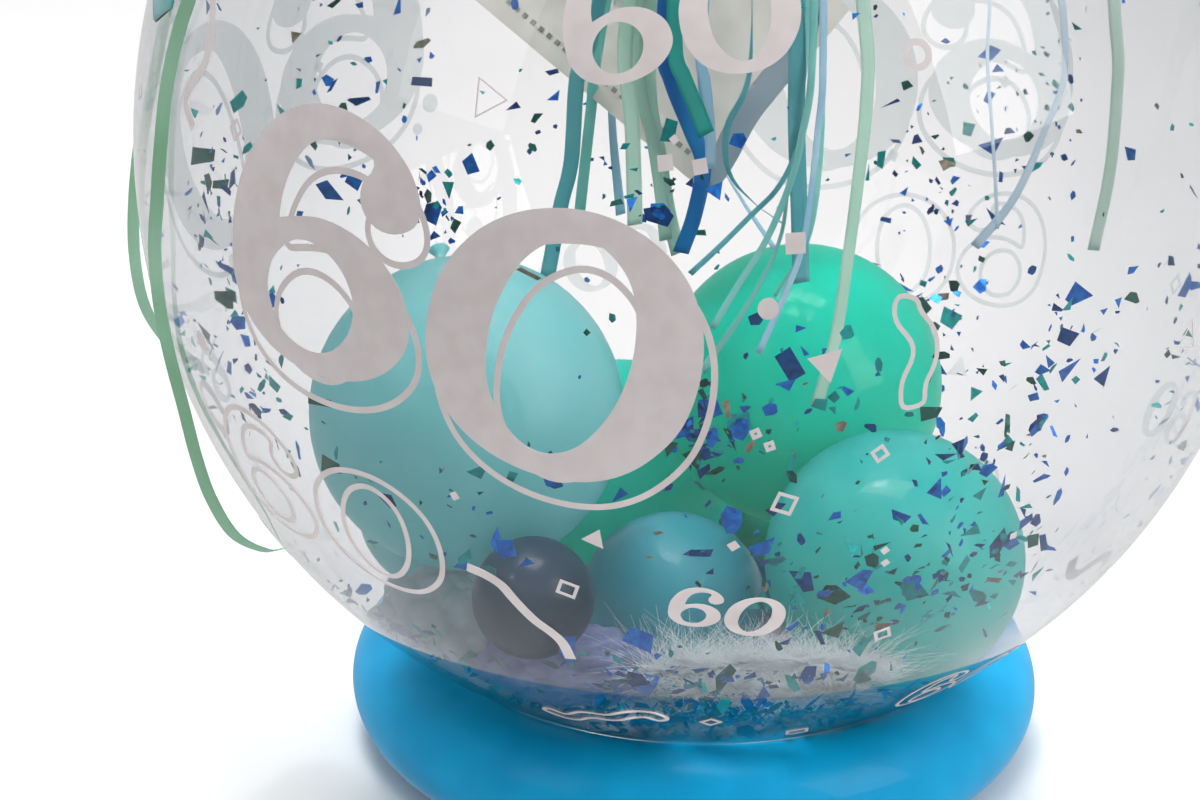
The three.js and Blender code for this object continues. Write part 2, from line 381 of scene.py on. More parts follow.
CLEAR_FILM = clear_film()
MILKY_LATEX = surface("milky_latex", tone(206, 210, 208), tone(222, 226, 224), 10 * MM, 0.1 * MM, 3 * MM,
                      (3, 3, 0.5), Roughness=0.35, Transmission_Weight=0.45)
BLUE_LATEX = latex("blue_latex", tone(0, 148, 200), tone(0, 158, 210), Roughness=0.45, Coat_Weight=0.1)
TEAL_SATIN = satin("teal_satin", tone(14, 122, 124), tone(38, 146, 146))
SAGE_RIBBON = light_through(
    surface("sage_ribbon", tone(136, 184, 150), tone(168, 208, 186), 60 * MM, 0.03 * MM, 0.8 * MM,
            (4, 4, 0.3), Roughness=0.4), 0.3, tone(170, 214, 184))
INK = ink("print_ink", tone(202, 192, 192), tone(208, 199, 199), 0.55, 0.14, tone(226, 218, 218))
# The underside ink and the ink of the prints at the back are paler copies of the print ink. They are painted
# light, standing in for the bright backdrop shining through the prints.
INK_UNDERSIDE = ink("ink_underside", tone(232, 240, 237), tone(240, 246, 244), 0.6, 0.86,
                    tone(250, 254, 252), 0.4)
INK_PAINTED_BACKLIGHT = ink("ink_painted_backlight", tone(212, 214, 216), tone(220, 222, 224), 0.6, 0.84, tone(230, 236, 238), 0.45)


# Camera, fitted to the photograph's outlines

CAMERA_DISTANCE = 1.5
CAMERA_RISE = math.radians(18.39)
CAMERA_PAN = math.radians(-1.514)
CAMERA_TILT = math.radians(-3.95)
CAMERA_ROLL = math.radians(1.41)
CAMERA_LENS = 113.49
SENSOR_WIDTH = 36.0


def make_camera():
    data = bpy.data.cameras.new("camera")
    data.sensor_fit = "HORIZONTAL"
    data.sensor_width = SENSOR_WIDTH
    data.lens = CAMERA_LENS
    data.clip_start = 0.05
    data.clip_end = 50
    camera = bpy.data.objects.new("camera", data)
    bpy.context.scene.collection.objects.link(camera)
    back = Vector((0, -math.cos(CAMERA_RISE), math.sin(CAMERA_RISE)))
    right = Vector((1, 0, 0))
    up = right.cross(-back)
    turn = (Matrix((right, up, back)).transposed().to_4x4()
            @ Matrix.Rotation(CAMERA_TILT, 4, "X")
            @ Matrix.Rotation(-CAMERA_PAN, 4, "Y")
            @ Matrix.Rotation(CAMERA_ROLL, 4, "Z"))
    camera.matrix_world = Matrix.Translation(Vector(CENTRE) + back * CAMERA_DISTANCE) @ turn
    bpy.context.scene.camera = camera


make_camera()


# The free ribbons outside, along the routes of their solids, in millimetres from the middle of the balloon

TAIL_LEFT = [
    (-8, -28, 266), (-24, -31, 252), (-46, -33, 240), (-72, -38, 229), (-98, -44, 215), (-124, -50, 197),
    (-148, -56, 175), (-169, -62, 150), (-186, -68, 122), (-198, -73, 94), (-205, -76, 66),
]
TAIL_RIGHT = [
    (8, -28, 266), (24, -31, 252), (46, -34, 240), (72, -40, 229), (98, -49, 214), (123, -59, 194),
    (146, -69, 170), (166, -79, 142), (181, -87, 115),
]
CURLING_FRONT = [
    (-5, -16, 291), (-12, -34, 285), (-22, -52, 266), (-38, -72, 247), (-60, -90, 227), (-85, -104, 207),
    (-112, -112, 183), (-138, -115, 160), (-161, -112, 133), (-179, -105, 106), (-191, -99, 79),
    (-198, -99, 53), (-201, -102, 30), (-203, -103, 8), (-205, -101, -14), (-205, -94, -38),
    (-203, -86, -62), (-199, -81, -86), (-195, -78, -108), (-190, -75, -127), (-182, -69, -145),
    (-172, -52, -159), (-166, -38, -164),
]
CURLING_BACK = [
    (-5, 13, 284), (-20, 22, 270), (-40, 34, 252), (-64, 46, 240), (-92, 55, 224), (-120, 62, 204),
    (-147, 65, 180), (-171, 65, 152), (-190, 62, 122), (-205, 57, 90), (-216, 51, 57), (-223, 42, 22),
    (-229, 31, -10), (-232, 24, -38), (-232, 20, -62), (-228, 19, -84), (-218, 24, -103), (-206, 30, -116),
]


def free_ribbon(name, route, width, wall, material, slot, node=None, point=0.0, cup=0.0, ribs=0, face_to=None,
                twist=0.0):
    """A flat ribbon along a route."""
    side, normal = frames_along(route, outwards(route) if face_to is None else face_to)
    twist = np.reshape(twist, (-1, 1))
    side, normal = (side * np.cos(twist) + normal * np.sin(twist),
                    normal * np.cos(twist) - side * np.sin(twist))
    section = flat_section(width, wall, cup, ribs)
    points, faces = swept(route, side, normal, lambda i: section)
    if point:
        end = route[-1]
        along = unit(end - route[-2])
        past = (points - end) @ along
        off = np.linalg.norm(points - end - past[:, None] * along, axis=1) / (width / 2)
        pull = np.clip(1 + past / point, 0, 1)
        points = points - (point * np.minimum(off, 1) * pull)[:, None] * along
    piece = add_mesh(name, points, faces, material, slot, replaces=(node,) if node else ())


# How far the curling ribbons face outwards. For the rest they face the front.
FACE_OUT = 0.25
TAIL_POINT = 11 * MM
TAIL_CUP = 1.2 * MM
RIBS = 5


def outside_ribbons():
    for name, node, keys in (("satin_tail_left", "bow_tail_left", TAIL_LEFT),
                             ("satin_tail_right", "bow_tail_right", TAIL_RIGHT)):
        route = smooth_route(in_metres(keys), 80)
        free_ribbon(name, route, SATIN_WIDTH, SATIN_WALL, TEAL_SATIN, "teal_satin", node,
                    TAIL_POINT, TAIL_CUP)
    for name, node, keys in (("sage_ribbon_front", "curling_ribbon_front", CURLING_FRONT),
                             ("sage_ribbon_back", "curling_ribbon_back", CURLING_BACK)):
        route = smooth_route(in_metres(keys), 160)
        turned_to = unit(outwards(route) * FACE_OUT + np.array([0, -1.0, 0]) * (1 - FACE_OUT))
        free_ribbon(name, route, CURLING_WIDTH, CURLING_WALL, SAGE_RIBBON, "sage_ribbon", node, ribs=RIBS,
                    face_to=turned_to)


outside_ribbons()


# The clear balloon: a thin wall with its true inside, and the gathered neck and lip over the tie

SHOULDER_TURN = math.acos(SHOULDER_RADIUS / RADIUS)


def body_profile(margin, steps):
    turns = np.linspace(-math.pi / 2, SHOULDER_TURN, steps)
    return [((RADIUS + margin) * math.cos(t), (HALF_HEIGHT + margin) * math.sin(t)) for t in turns]


def bezier(handles, steps):
    """Points of one curve that starts and ends at its outer handles."""
    found = []
    for t in np.linspace(0, 1, steps):
        level = np.array(handles, float)
        while len(level) > 1:
            level = level[:-1] * (1 - t) + level[1:] * t
        found.append(tuple(level[0]))
    return found


def shoulder_profile(margin, steps):
    start = np.array([(RADIUS + margin) * math.cos(SHOULDER_TURN),
                      (HALF_HEIGHT + margin) * math.sin(SHOULDER_TURN)])
    slope = np.array([-RADIUS * math.sin(SHOULDER_TURN), HALF_HEIGHT * math.cos(SHOULDER_TURN)])
    leaving = start + slope / np.linalg.norm(slope) * SHOULDER_RADIUS * SHOULDER_HANDLE
    neck = NECK_RADIUS + margin
    return bezier([start, leaving, (neck, NECK_FOOT - NECK_HANDLE), (neck, NECK_FOOT)], steps)[1:]


GATHER_REACH = 34 * MM
NECK_CREASES = 22
NECK_CREASE_DEPTH = 0.05
LIP_WAVES = 3
LIP_WAVE = 4 * MM


def pleat(points):
    """Folds that grow from the tie to the edge of the lip, with finer creases in the neck."""
    rise = np.clip((points[:, 2] - NECK_TOP) / (LIP_HEIGHT - NECK_TOP), 0, 1)
    turn = np.arctan2(points[:, 1], points[:, 0])
    gather = smooth_step(points[:, 2], NECK_FOOT - GATHER_REACH, NECK_FOOT) * (1 - rise)
    fold = 1 + LIP_PLEAT_DEPTH * rise * np.cos(LIP_PLEATS * turn)
    fold = fold * (1 + NECK_CREASE_DEPTH * gather * np.cos(NECK_CREASES * turn))
    points[:, :2] *= fold[:, None]
    points[:, 2] += LIP_WAVE * rise * np.sin(LIP_WAVES * turn)
    return points


# Above this the film is gathered so closely that it looks milky
MILKY_FROM = NECK_FOOT - 8 * MM


def clear_balloon():
    sides, body_steps, shoulder_steps, lip_steps = 176, 84, 18, 14
    flare = (NECK_RADIUS + 3 * MM, NECK_TOP + 18 * MM)
    lip = bezier([(NECK_RADIUS, NECK_TOP), flare, (LIP_RADIUS, LIP_HEIGHT)], lip_steps)
    inside = [(max(r - 1.5 * LIP_WALL, 2 * MM), z + LIP_WALL) for r, z in lip[:0:-1]]
    inside.append((0.0, NECK_TOP + 4 * LIP_WALL))
    outer = body_profile(0, body_steps) + shoulder_profile(0, shoulder_steps) + lip + inside
    points, faces = turned(outer, sides)
    cavity = body_profile(-FILM_WALL, body_steps) + shoulder_profile(-FILM_WALL, shoulder_steps)
    cavity.append((0.0, NECK_FOOT))
    hollow, hollow_faces = turned(cavity, sides)
    whole, faces = joined([(pleat(points), faces), (hollow, [f[::-1] for f in hollow_faces])])
    piece = add_mesh("clear_film", whole + CENTRE, faces, [CLEAR_FILM, MILKY_LATEX], "clear_latex",
                     replaces=("clear_balloon",))
    heights = np.array([p.center.z for p in piece.data.polygons]) - MIDDLE
    piece.data.polygons.foreach_set("material_index", (heights > MILKY_FROM).astype(int))
    piece.visible_shadow = False


clear_balloon()


# The blue ring under it, pressed by the balloon and flat where it rests

PINCH = 0.68
PINCH_REACH = 24 * MM
FOLDS = 9
FOLD_DEPTH = 0.09
PRESS_GAP = 0.4 * MM


def blue_ring():
    steps, sides = 300, 56
    turns = np.arange(steps)[:, None] * 2 * math.pi / steps
    rounds = np.arange(sides) * 2 * math.pi / sides
    away = (turns - math.pi / 2 + math.pi) % (2 * math.pi) - math.pi
    along = RING_RADIUS * np.abs(away)
    near = np.exp(-((along / PINCH_REACH) ** 2))
    crumpled = np.exp(-((along / (1.5 * PINCH_REACH)) ** 2))
    folds = 1 + FOLD_DEPTH * crumpled * np.cos(FOLDS * rounds)
    reach = TUBE_RADIUS * (1 - PINCH * near) * folds
    radius = RING_RADIUS + reach * np.cos(rounds)
    points = np.stack([radius * np.cos(turns), radius * np.sin(turns),
                       RING_HEIGHT + reach * np.sin(rounds)], axis=2).reshape(-1, 3)
    count = len(points)
    faces = [(a, d % count, c % count, b) for a, b, c, d in grid_faces(steps + 1, sides)]
    from_middle = points - CENTRE
    inside = np.linalg.norm(from_middle / (SPREAD + PRESS_GAP), axis=1, keepdims=True)
    pressed = np.where(inside < 1, CENTRE + from_middle / inside, points)
    pressed[:, 2] = np.maximum(pressed[:, 2], 0)
    add_mesh("blue_ring", *joined([(pressed, faces), *ring_knot()]), BLUE_LATEX, "blue_latex",
             replaces=("base_ring",))


KNOT_RADIUS = 10 * MM
NOZZLE_LENGTH = 19 * MM
NOZZLE_BEAD = 1.4 * MM
NOZZLE_RADIUS = 5.4 * MM
NOZZLE_LEAN = math.pi * 0.44


def ring_knot():
    """The tied knot, a lump with a rolled turn round it, and the nozzle with its rolled lip."""
    place = np.array([0, RING_RADIUS, RING_HEIGHT])
    profile = [(KNOT_RADIUS * math.sin(t), -KNOT_RADIUS * math.cos(t)) for t in np.linspace(0, math.pi, 20)]
    lump, lump_faces = turned(profile, 40)
    turn = np.arctan2(lump[:, 1], lump[:, 0])
    roll = 1 + 0.1 * np.sin(3 * turn + lump[:, 2] / (2.2 * MM))
    lump[:, :2] *= roll[:, None]
    lump *= np.array([1.2, 0.92, 1.0])
    lip = NOZZLE_LENGTH - NOZZLE_BEAD
    profile = [(0.0, 0.0), (3.6 * MM, 0.0), (3.4 * MM, NOZZLE_LENGTH * 0.3), (3.9 * MM, NOZZLE_LENGTH * 0.6),
               (NOZZLE_RADIUS, lip)]
    profile += [(NOZZLE_RADIUS + NOZZLE_BEAD * (1 + math.sin(t)), NOZZLE_LENGTH - NOZZLE_BEAD * math.cos(t))
                for t in np.linspace(0.6, 5.6, 10)]
    profile += [(3.4 * MM, NOZZLE_LENGTH * 0.75), (0.0, NOZZLE_LENGTH * 0.6)]
    nozzle, nozzle_faces = turned(profile, 40)
    crumple = 1 + 0.08 * np.cos(6 * np.arctan2(nozzle[:, 1], nozzle[:, 0]))
    x, y, z = nozzle[:, 0] * crumple, nozzle[:, 1] * crumple, nozzle[:, 2]
    ahead, up = math.sin(NOZZLE_LEAN), math.cos(NOZZLE_LEAN)
    nozzle = np.stack([x, y * up + z * ahead, z * up - y * ahead], axis=1)
    return [(lump + place, lump_faces), (nozzle + place, nozzle_faces)]


blue_ring()


# The satin bow round the neck

PLEATS = 3.5
PLEAT_HEIGHT = 1.7 * MM
LOOP_CURL = 1.0 * MM
LOOP_NARROW = 0.42
LOOP_WIDE = 1.1


def bow_loop(side):
    """One loop of ribbon, gathered in pleats at the knot and hanging a little at its end."""
    turns = np.linspace(LOOP_START, 2 * math.pi - LOOP_START, 90)
    along = LOOP_LENGTH * (1 - np.cos(turns)) / 2
    across = LOOP_DEPTH * np.sin(turns) * np.sin(turns / 2) ** 1.3
    route = np.stack([side * along, across, 0 * along], axis=1)
    middle = np.array([side * LOOP_LENGTH * 0.6, 0, 0])
    _, normal = frames_along(route, unit(route - middle))
    up = np.broadcast_to([0, 0, 1.0], route.shape)
    shares = np.linspace(-0.5, 0.5, 25)
    share_out = along / LOOP_LENGTH
    width = SATIN_WIDTH * (LOOP_NARROW + (LOOP_WIDE - LOOP_NARROW) * smooth_step(share_out, 0, 0.7))
    fold = PLEAT_HEIGHT * (1 - smooth_step(share_out, 0.05, 0.75))

    def cut(i):
        bend = fold[i] * np.cos(shares * 2 * math.pi * PLEATS) - LOOP_CURL * (2 * shares) ** 2
        upper = np.stack([shares * width[i], bend + SATIN_WALL / 2], axis=1)
        lower = np.stack([shares * width[i], bend - SATIN_WALL / 2], axis=1)
        return np.concatenate([upper, lower[::-1]])

    points, faces = swept(route, up, normal, cut)
    points[:, 2] -= LOOP_DROOP * (np.abs(points[:, 0]) / LOOP_LENGTH) ** 1.6
    return points + np.array([side * 5 * MM, -BOW_FRONT, 0]), faces


def bow_knot():
    """A soft block with creases down it."""
    rows, sides = 40, 56
    ways = ways_round(rows, sides)
    x, _, z = (0.5 * np.sign(ways) * np.abs(ways) ** 0.6).T
    crease = 1 + 0.05 * np.cos(18 * x + 0.8 * np.sin(5 * z))
    block = np.stack([x, 0.5 * ways[:, 1] * crease, z], axis=1) * BOW_KNOT
    return block - np.array([0, BOW_FRONT, 0]), grid_faces(rows + 1, sides)


def neck_band():
    inner = NECK_RADIUS + 0.6 * MM
    band = [(BAND_RADIUS - 0.5 * MM * math.cos(9 * f), BAND_HALF * f) for f in np.linspace(-1, 1, 15)]
    return turned([*band, (inner, BAND_HALF), (inner, -BAND_HALF), band[0]], 72)


def satin_bow():
    points, faces = joined([bow_loop(-1), bow_loop(1), bow_knot(), neck_band()])
    points[:, 2] += BOW_HEIGHT
    add_mesh("satin_bow", points + CENTRE, faces, TEAL_SATIN, "teal_satin", replaces=("ribbon_bow",))


satin_bow()


# Prints on the film. Figures are drawn in millimetres on a flat sheet, then laid on the round body.
# A figure is a list of loops of points, each with the loops that are cut out of it.

INK_FOOT = 0.12 * MM
INK_TOP = 0.3 * MM
CONTOUR_DROP = 0.1 * MM
GRAIN = 5.0
LINE_GRAIN = 50

# Key points of two plain old-style digits: a six with a ball at the end of its arm, and a leaning zero
SIX_EDGE = (
    (-52, 5), (-49, 20), (-41, 34), (-29, 44), (-14, 49.5), (2, 50.5), (16, 47), (26, 40), (29.5, 32),
    (26, 25.5), (19, 21.5), (11, 21.5), (5, 25.5), (3, 32), (5, 38), (2, 42), (-7, 41.5), (-17, 37.5),
    (-25, 30), (-28.5, 20), (-29, 9), (-27.5, 1), (-27, -0.5), (-25, 1), (-19, 5), (-9, 10.5), (3, 13.5),
    (15, 13.5), (25, 10.5), (34, 5), (40, -4), (41.5, -13), (38, -23), (31, -32), (21, -39.5), (9, -45),
    (-5, -48.5), (-20, -48.5), (-33, -44), (-43, -34.5), (-49, -20), (-52, -6),
)
SIX_EYE = (
    (-25, -19), (-22.5, -11), (-17, -3.5), (-9, 0.5), (0, 1), (8, -1.5), (14.5, -7), (17.5, -15),
    (16.5, -24), (11, -33), (3, -38), (-6, -39.5), (-14, -38), (-20, -33), (-24, -27),
)
ZERO_EDGE = (
    (-52.5, 0), (-50.5, 14), (-44, 28), (-34, 39), (-21, 47), (-7, 51.5), (8, 52), (22, 48.5), (34, 41),
    (43, 29), (48, 14), (49, -2), (46, -15), (38, -29), (27, -39), (13, -45), (-3, -47.5), (-19, -46),
    (-33, -40), (-44, -29), (-50, -16),
)
ZERO_EYE = (
    (-26, -12), (-28.5, 1), (-28, 14), (-25, 26), (-19, 35), (-11, 41), (-2, 42), (7, 39), (14.5, 33),
    (20, 23), (23.5, 10), (24, -4), (21.5, -17), (16, -29), (8, -36), (-1, -37.5), (-10, -34), (-18, -27),
    (-23, -20),
)
SIX = [(smooth_route(SIX_EDGE, 160, closed=True), [smooth_route(SIX_EYE, 64, closed=True)])]
ZERO = [(smooth_route(ZERO_EDGE, 110, closed=True), [smooth_route(ZERO_EYE, 80, closed=True)])]


def squiggle(keys, width):
    """A wavy band of even width along a few key points."""
    line = smooth_route(keys, 44)
    ahead = unit(np.gradient(line, axis=0))
    side = np.stack([-ahead[:, 1], ahead[:, 0]], axis=1) * width / 2
    return [(np.concatenate([line + side, (line - side)[::-1]]), [])]


def ring_of(count, size, start=0.0):
    """Points evenly spaced round a circle of this width."""
    turns = np.arange(count) * 2 * math.pi / count + start
    return size / 2 * np.stack([np.cos(turns), np.sin(turns)], axis=1)


def polygon(corners, size, steps=4):
    """A regular shape with its edges cut into short lengths."""
    ring = ring_of(corners, size, math.pi / corners)
    line = [start + (end - start) * k / steps
            for start, end in zip(ring, np.roll(ring, -1, axis=0)) for k in range(steps)]
    return [(np.array(line), [])]


def dot(size):
    return [(ring_of(24, size), [])]


def inside_loop(points, loop):
    x, y = points[:, 0], points[:, 1]
    found = np.zeros(len(points), bool)
    for (ax, ay), (bx, by) in zip(loop, np.roll(loop, -1, axis=0)):
        if ay == by:
            continue
        crosses = (ay > y) != (by > y)
        found ^= crosses & (x < (bx - ax) * (y - ay) / (by - ay) + ax)
    return found


def covered(points, figure):
    """Which points lie in a figure."""
    found = np.zeros(len(points), bool)
    for solid, cuts in figure:
        here = inside_loop(points, solid)
        for cut in cuts:
            here &= ~inside_loop(points, cut)
        found |= here
    return found


# Inner points are kept this far off round numbers, where the outlines' own points may be
OFF_GRID = 0.013


def filled(figure, grain=GRAIN, over=()):
    """The flat triangles inside a figure, less a figure that lies over it."""
    points, edges = [], []
    for solid, cuts in [*figure, *over]:
        for loop in (solid, *cuts):
            first = len(points)
            points += [Vector(p) for p in loop]
            edges += [(first + i, first + (i + 1) % len(loop)) for i in range(len(loop))]
    corners = np.concatenate([solid for solid, _ in figure])
    along, up = (np.arange(low, high, grain) for low, high in zip(corners.min(axis=0), corners.max(axis=0)))
    spots = np.array([(x, y) for x in along for y in up])
    points += [Vector(p) for p in spots[covered(spots, figure)] + OFF_GRID]
    flat, _, faces, *_ = delaunay_2d_cdt(points, edges, [], 0, 1e-5)
    flat, faces = np.array([tuple(p) for p in flat]), np.array(faces)
    middles = flat[faces].mean(axis=1)
    kept = covered(middles, figure) & ~covered(middles, over)
    used, faces = np.unique(faces[kept], return_inverse=True)
    return flat[used], [tuple(face) for face in faces.reshape(-1, 3)]


def extent(loop):
    return float(np.prod(loop.max(axis=0) - loop.min(axis=0)))


# A shorter rim than this is only a gap between a figure's own triangles
SHORTEST_RIM = 8


def outlined(figure, width):
    """A figure's outline as a line of even width: a figure of its own."""
    flat, faces = filled(figure)
    bands = []
    for loop in rims(faces):
        line = flat[loop]
        if len(line) < SHORTEST_RIM:
            continue
        line = smooth_route(line, max(24, int(length_of(line) / 2.5)), closed=True)
        for _ in range(2):
            line = (np.roll(line, 1, axis=0) + 2 * line + np.roll(line, -1, axis=0)) / 4
        ahead = unit(np.roll(line, -1, axis=0) - np.roll(line, 1, axis=0))
        side = np.stack([ahead[:, 1], -ahead[:, 0]], axis=1) * width / 2
        narrow, wide = sorted((line + side, line - side), key=extent)
        bands.append((wide, [narrow]))
    return bands


def framed(figure, width):
    """A small shape's outline, its edges drawn at an even width."""
    (loop, _), = figure
    middle = loop.mean(axis=0)
    share = 1 - width / np.abs(loop - middle).max()
    return [(loop, [middle + (loop - middle) * share])]


def spun(flat, turn):
    """Flat points turned by degrees round the sheet's middle."""
    a = math.radians(turn)
    return flat @ np.array([[math.cos(a), math.sin(a)], [-math.sin(a), math.cos(a)]])


def laid(figure, azimuth, rise, scale=1.0, turn=0.0, drop=0.0, grain=GRAIN, over=()):
    """A closed thin layer of ink on the body: the figure is turned, scaled and bent onto it."""
    flat, faces = filled(figure, grain / max(scale, 0.2), over)
    flat = spun(flat * scale, turn) * MM
    ahead = facing(azimuth, rise)
    a = math.radians(azimuth)
    east = np.array([math.cos(a), math.sin(a), 0])
    north = np.cross(ahead, east)
    angle = np.linalg.norm(flat, axis=1, keepdims=True) / ((RADIUS + HALF_HEIGHT) / 2)
    way = unit(flat[:, :1] * east + flat[:, 1:] * north)
    directions = ahead * np.cos(angle) + way * np.sin(angle)
    return closed_sheet(on_body(directions, INK_TOP - drop), on_body(directions, INK_FOOT), faces)


def ink_piece(name, parts):
    """Prints as one piece. Their undersides are painted paler, and the ones at the back get a paler copy of
    the ink that lets more light through. Both paler inks are painted backlight.
    """
    piece = add_mesh(name, *joined(parts), [INK, INK_UNDERSIDE, INK_PAINTED_BACKLIGHT], "print_ink", smooth=False)
    faces = piece.data.polygons
    middles = np.array([f.center for f in faces])
    under = np.sum(np.array([f.normal for f in faces]) * outwards(middles), axis=1) < -0.5
    # Undersides and prints at the back take the paler inks: painted backlight.
    faces.foreach_set("material_index", np.where(under, 1, np.where(middles[:, 1] > 0, 2, 0)))


# Each pair of digits: azimuth, rise, scale, lean, its contour's width, whether it is solid, and how much
# lower the six stands
SIXTIES = (
    (-24, 1, 1.0, -20, 2.5, True),
    (-41.8, -22.6, 0.58, -20, 2.3, False, 10),
    (3.4, -27.5, 0.22, -22, 0, True),
    (-2.5, 27, 0.42, 0, 0, True),
    (44, -48.5, 0.3, -10, 1.5, False),
    (-122, -5, 0.95, -20, 2.4, True),
    (156, -7.5, 0.85, -20, 2.4, True),
    (147, -26, 0.5, -20, 2.0, False),
    (88, 6, 0.95, -20, 2.5, True),
    (62, 38, 0.42, 8, 0, True),
    (-78, 34, 0.5, -12, 2.0, False),
    (-150, 34, 0.45, -8, 0, True),
    (118, 36, 0.5, -15, 2.0, False),
    (-90, -28, 0.25, -20, 0, True),
    (-168, -30, 0.25, -20, 0, True),
    (96, -30, 0.25, -24, 0, True),
)
DIGIT_SPACE = 47
DIGIT_STEP = 6
CONTOUR_SHIFT = (7.3, -8.3)


def moved(figure, by):
    return [(solid + by, [cut + by for cut in cuts]) for solid, cuts in figure]


def sixty(azimuth, rise, scale, lean, line, solid, lower_six=0.0):
    """The two digits side by side: solid with or without a shifted contour, or in contour only."""
    parts = []
    for figure, x, y in ((SIX, -DIGIT_SPACE, -DIGIT_STEP - lower_six), (ZERO, DIGIT_SPACE, DIGIT_STEP)):
        across, up = spun(np.array([x, y]), lean) * scale * MM
        place = (azimuth + math.degrees(across / RADIUS / math.cos(math.radians(rise))),
                 rise + math.degrees(up / HALF_HEIGHT), scale, lean)
        if solid:
            parts.append(laid(figure, *place))
        if line:
            drawn = outlined(figure, line / scale)
            if solid:
                drawn = moved(drawn, CONTOUR_SHIFT)
            parts.append(laid(drawn, *place, CONTOUR_DROP, LINE_GRAIN, figure if solid else ()))
    return parts


def numerals():
    ink_piece("printed_numerals", [part for place in SIXTIES for part in sixty(*place)])


numerals()


# Small prints: azimuth, rise, size and turn
SQUARES = (
    (8, 9, 1.25, 2), (-3.6, 15.4, 0.95, 8), (-2.9, 17.3, 0.45, 40), (-0.5, 15.2, 0.9, 12),
    (3.5, -19, 0.65, 35), (18.5, -20.5, 0.5, 40), (18.8, -22, 0.5, 40), (-23.5, -16.5, 0.55, 30),
    (33, -21.5, 0.5, 10), (157, -17, 0.8, 20), (144, -7, 0.8, 40), (-131, -4.5, 0.8, 30), (100, -12, 0.8, 20),
    (60, 14, 0.9, 30),
    (75, -24, 0.6, 10), (-75, 8, 0.8, 35), (-100, 20, 0.9, 20), (40, 44, 0.9, 30), (-60, 48, 0.8, 10),
    (130, 12, 0.8, 40), (-160, 12, 0.9, 15), (175, 44, 0.8, 25),
)
OPEN_SQUARES = (
    (8, -14.5, 1.45, -20), (16.5, -10, 1.0, 35), (5, -7.5, 0.65, 25), (6.3, -8.7, 0.65, 20),
    (-13, -25.5, 1.35, -20), (21, -32, 1.15, 20), (2.7, -48.5, 1.2, 45), (18, -54.5, 1.6, 15),
    (-49.5, 11.5, 1.1, 45), (110, -20, 1.2, 30), (-80, -12, 1.2, 20), (-140, 16, 1.3, 10),
    (30, 30, 1.3, 40), (-30, 42, 1.2, 15), (80, 48, 1.3, 30), (170, 18, 1.2, 20),
)
TRIANGLES = (
    (11, -1.3, 1.45, -17), (-9.7, -19, 1.0, 6), (65, 2, 1.3, 10), (-100, 2, 1.2, 50), (140, -38, 1.2, 20),
    (-10, 52, 1.3, 20), (120, 20, 1.3, 80),
)
OPEN_TRIANGLES = ((-20.6, 19.3, 1.6, 62), (52, -6, 1.5, 20), (-170, 4, 1.5, 30), (20, 56, 1.4, 0))

# Round ones: azimuth, rise and width in millimetres
DOTS = (
    (5.7, 3.6, 7.5), (-56.7, -10, 8), (-146, -11, 8), (-144, -13.5, 5), (70, 24, 8), (-40, 28, 7),
    (160, 26, 8), (110, 4, 6), (-110, -20, 7),
)
OPEN_DOTS = ((20, 23.7, 11), (-66, 22, 10), (135, 30, 10))

# Waves of the four squiggles that show at the front and of all others, in millimetres on the flat sheet
HIGH_WAVE = ((-5, 30), (-1, 22), (1, 14), (2, 8), (-1, 2), (-7, -5), (-8, -11), (1, -17))
LOW_WAVE = ((-18, 20), (-11, 18), (-5, 14), (-1, 7), (5, -3), (11, -10), (14, -16), (15, -26))
RIGHT_WAVE = ((-3, 20), (-4, 14), (3, 6), (4, -3), (0, -11), (1, -20))
FOOT_WAVE = ((-25, -6), (-16, -12), (-7, -2), (3, -2), (12, 5), (20, 7), (25, 0))
BACK_WAVE = ((-18, -1), (-11, 4), (-3, 2), (4, -4), (11, -4), (18, 1))
SQUIGGLE_WIDTH = 4.4


def small_prints():
    """Squares, diamonds, triangles, dots and squiggles between the numerals."""
    square, triangle = polygon(4, 8), polygon(3, 10)
    parts = [laid(square, *place) for place in SQUARES]
    parts += [laid(framed(square, 1.3 / place[2]), *place, grain=LINE_GRAIN) for place in OPEN_SQUARES]
    parts += [laid(triangle, *place) for place in TRIANGLES]
    parts += [laid(framed(triangle, 1.0 / place[2]), *place, grain=LINE_GRAIN) for place in OPEN_TRIANGLES]
    parts += [laid(dot(size), *place) for *place, size in DOTS]
    parts += [laid(framed(dot(size), 2.4), *place, grain=LINE_GRAIN) for *place, size in OPEN_DOTS]
    for keys, *place in ((HIGH_WAVE, -57.3, 14), (LOW_WAVE, -18.9, -29.8)):
        parts.append(laid(squiggle(keys, SQUIGGLE_WIDTH), *place))
    for keys, wide, *place in ((RIGHT_WAVE, 9.0, 19, -0.9), (FOOT_WAVE, 6.5, -13.3, -48.8)):
        parts.append(laid(outlined(squiggle(keys, wide), 1.7), *place, grain=LINE_GRAIN))
    for place in ((95, 30, 1.3, 40), (-120, 28, 1.3, -60), (178, -42, 1.3, 20), (80, -44, 1.3, -30)):
        parts.append(laid(squiggle(BACK_WAVE, SQUIGGLE_WIDTH), *place))
    for place in ((130, -48, 1.3, 10), (-70, -40, 1.3, 70), (0, 42, 1.3, -20)):
        parts.append(laid(outlined(squiggle(BACK_WAVE, 6.0), 1.3), *place, grain=LINE_GRAIN))
    ink_piece("printed_shapes", parts)


small_prints()


# Sealed in it: small balloons. Each one's name, middle and radius in millimetres, the way its knot points,
# two tones and the share of light that passes it

MINI_NECK = 2.2 * MM

